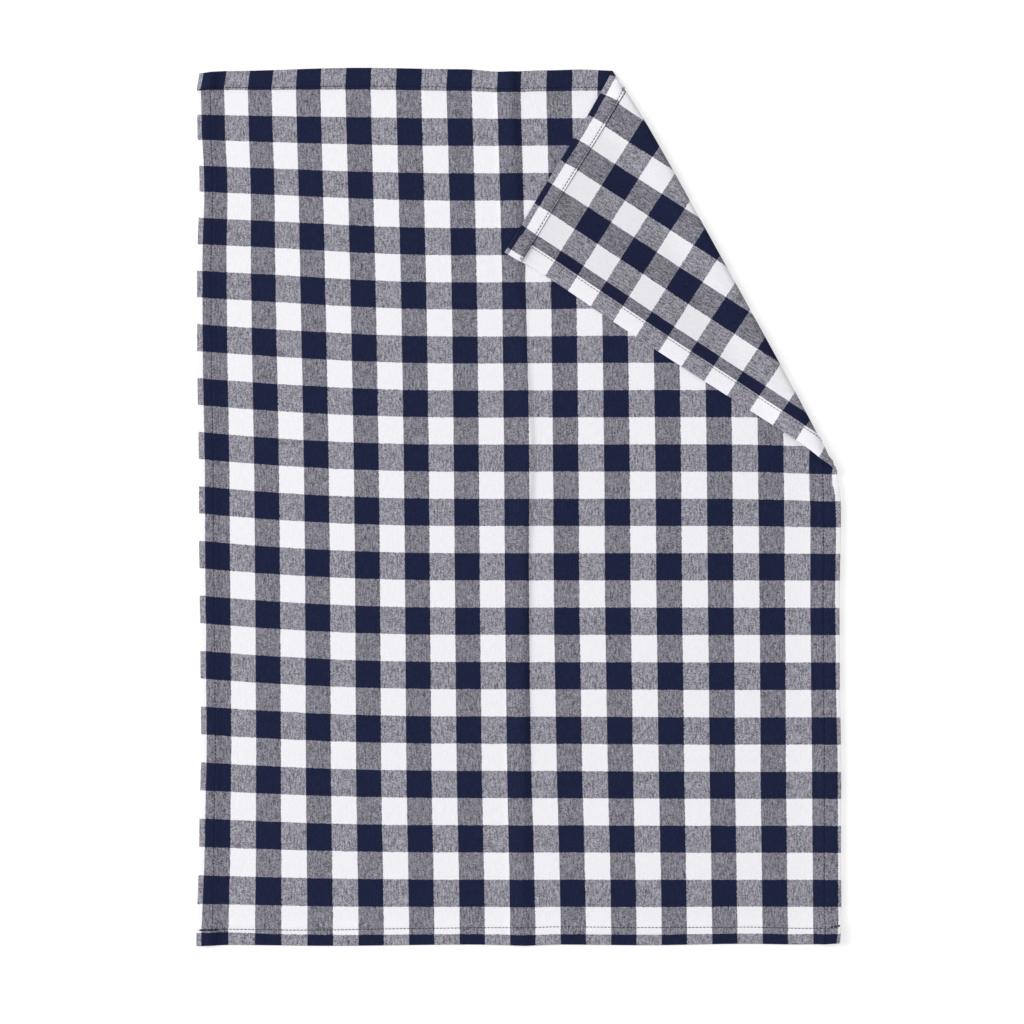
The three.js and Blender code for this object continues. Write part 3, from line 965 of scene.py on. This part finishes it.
class TOWEL_OT_stitches(Operator):
    """Sews the four hem seams, stitch by stitch, on the front and on the reverse"""

    bl_idname = "tea_towel.stitches"
    bl_label = "Hem Stitches"

    def execute(self, context):
        seam = settings().seam
        if seam.stitch <= seam.gap:
            raise RuntimeError("a stitch is no longer than the gap after it")
        bpy.ops.object.select_all(action="DESELECT")
        bpy.ops.mesh.primitive_uv_sphere_add(
            segments=6, ring_count=4, radius=0.5, rotation=(0, math.pi / 2, 0)
        )
        # One stitch is a grain drawn out from hole to hole, and the seams are copies of it
        piece = bpy.context.object
        piece.name = "hem_stitches"
        piece.data.name = "hem_stitches"
        bpy.ops.object.transform_apply(location=True, rotation=True, scale=True)
        grain = np.array([vertex.co[:] for vertex in piece.data.vertices])
        grain = grain * (seam.stitch - seam.gap, seam.thread, seam.thread)
        faces = [list(face.vertices) for face in piece.data.polygons]
        across, up, level, above = self.sewn(grain)
        places = towel_points(across, up, level, above) + rim_shift()
        count = len(places) // len(grain)
        joined = [[i + k * len(grain) for i in face] for k in range(count) for face in faces]
        piece.data.clear_geometry()
        piece.data.from_pydata(places.tolist(), [], joined)
        piece.data.update()
        select_only(piece)
        bpy.ops.object.mode_set(mode="EDIT")
        bpy.ops.mesh.select_all(action="SELECT")
        bpy.ops.mesh.normals_make_consistent(inside=False)
        bpy.ops.object.mode_set(mode="OBJECT")
        bpy.ops.object.shade_smooth()
        mark_reverse(piece, level < 0)
        piece.data.materials.append(sewing_thread())
        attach(piece, BODY)
        return {"FINISHED"}

    def sewn(self, grain):
        """Flat places of all stitches' points, their layers and heights over them, by seams."""
        cloth, seam = settings().cloth, settings().seam
        left = cloth.hem_left - seam.inset
        right = cloth.width - cloth.hem_right + seam.inset
        foot = cloth.hem_foot - seam.inset
        top = cloth.length - cloth.hem_top + seam.inset
        whole_width = (seam.start, cloth.width - seam.start)
        whole_length = (seam.start, cloth.length - seam.start)
        clear_length = (cloth.hem_foot + seam.start, cloth.length - cloth.hem_top - seam.start)
        rows = []
        for on_front in (True, False):
            for at in (foot, top):
                rows.append((whole_width, at, False, on_front))
            for at in (left, right):
                rows.append((whole_length if on_front else clear_length, at, True, on_front))
        for off in (-seam.tack_spread, seam.tack_spread):
            half = seam.start + seam.stitch / 2
            left_tack = (half, seam.start + seam.tack_left)
            right_tack = (cloth.width - half - seam.tack_right, cloth.width - seam.start)
            top_tack = (half, seam.start + seam.tack_top)
            rows.append((left_tack, foot + off, False, True))
            rows.append((top_tack, top + off, False, True))
            rows.append((right_tack, foot + off, False, True))
        tip_tack = (cloth.width - seam.start - seam.tack_tip, cloth.width - seam.start)
        rows.append((tip_tack, top - 3 * seam.tack_spread, False, False))
        parts = [self.seam_row(grain, *row) for row in rows]
        return (np.concatenate(part) for part in zip(*parts))

    def seam_row(self, grain, span, at, upright, on_front):
        """One straight seam on one face of the cloth, between two places along an edge."""
        cloth, seam = settings().cloth, settings().seam
        count = round((span[1] - span[0]) / seam.stitch)
        middle = span[0] + (span[1] - span[0]) * (np.arange(count) + 0.5) / count
        run = (middle[:, None] + grain[None, :, 0]).ravel()
        beside = at + np.tile(grain[:, 1], count)
        across, up = (beside, run) if upright else (run, beside + seam_wander(run, beside))
        dip = seam.thread * STITCH_DIP * (2 * grain[:, 0] / seam.stitch) ** 4
        above = cloth.thickness / 2 + seam.thread * STITCH_RAISE + np.tile(grain[:, 2] - dip, count)
        if on_front:
            return across, up, np.zeros_like(across), above
        return across, up, -layers_under(across, up), -above


class TOWEL_OT_stage(Operator):
    """Sets the plain pale floor, the soft studio light and the camera straight above the towel"""

    bl_idname = "tea_towel.stage"
    bl_label = "Floor, Light and Camera"

    def execute(self, context):
        stage = settings().stage
        scene = context.scene
        if stage.view == 0 or stage.camera_height == 0:
            raise RuntimeError("the camera has no height or no width of view")
        bpy.ops.object.select_all(action="DESELECT")
        bpy.ops.mesh.primitive_plane_add(size=stage.floor, location=(0, 0, 0))
        floor = bpy.context.object
        floor.name = "floor"
        floor.data.materials.append(lit_table())

        towards = Vector(stage.key_from).normalized()
        bpy.ops.object.light_add(type="AREA", location=towards * stage.key_distance)
        key = bpy.context.object
        key.name = "key_light"
        key.data.shape = "DISK"
        key.data.size = stage.key_size
        key.data.energy = stage.key_power
        key.rotation_euler = towards.to_track_quat("Z", "Y").to_euler()

        world = bpy.data.worlds.new("even_fill")
        world.use_nodes = True
        sky = world.node_tree.nodes["Background"]
        sky.inputs["Color"].default_value = (*settings().colours.fill, 1)
        sky.inputs["Strength"].default_value = stage.fill
        scene.world = world

        bpy.ops.object.camera_add(
            location=(-stage.view_left, -stage.view_down, stage.camera_height), rotation=(0, 0, 0)
        )
        camera = bpy.context.object
        camera.data.sensor_width = SENSOR_WIDTH
        camera.data.lens = SENSOR_WIDTH * stage.camera_height / stage.view
        camera.data.clip_end = FAR_CLIP
        scene.camera = camera
        scene.view_settings.view_transform = "Standard"
        scene.view_settings.look = "None"
        return {"FINISHED"}


class TOWEL_PT_panel(Panel):
    """Lists the towel's pieces and their sizes and colours"""

    bl_idname = "TOWEL_PT_panel"
    bl_label = "Tea Towel"
    bl_space_type = "VIEW_3D"
    bl_region_type = "UI"
    bl_category = "Tea Towel"

    def draw(self, context):
        for operator in (TOWEL_OT_cloth, TOWEL_OT_stitches, TOWEL_OT_stage):
            self.layout.operator(operator.bl_idname)
        for group in ("cloth", "fold", "check", "seam", "colours", "stage"):
            box = self.layout.box()
            box.label(text=group.capitalize())
            values = getattr(context.scene.tea_towel, group)
            for name in values.__annotations__:
                box.prop(values, name)


CLASSES = (
    ClothSizes,
    FoldSizes,
    CheckSizes,
    SeamSizes,
    TowelColours,
    StageSizes,
    TowelSettings,
    TOWEL_OT_cloth,
    TOWEL_OT_stitches,
    TOWEL_OT_stage,
    TOWEL_PT_panel,
)


def register():
    for cls in CLASSES:
        bpy.utils.register_class(cls)
    bpy.types.Scene.tea_towel = PointerProperty(type=TowelSettings)


def unregister():
    del bpy.types.Scene.tea_towel
    for cls in reversed(CLASSES):
        bpy.utils.unregister_class(cls)


def main():
    register()
    bpy.ops.tea_towel.stage()
    bpy.ops.tea_towel.cloth()
    bpy.ops.tea_towel.stitches()


if __name__ == "__main__":
    main()
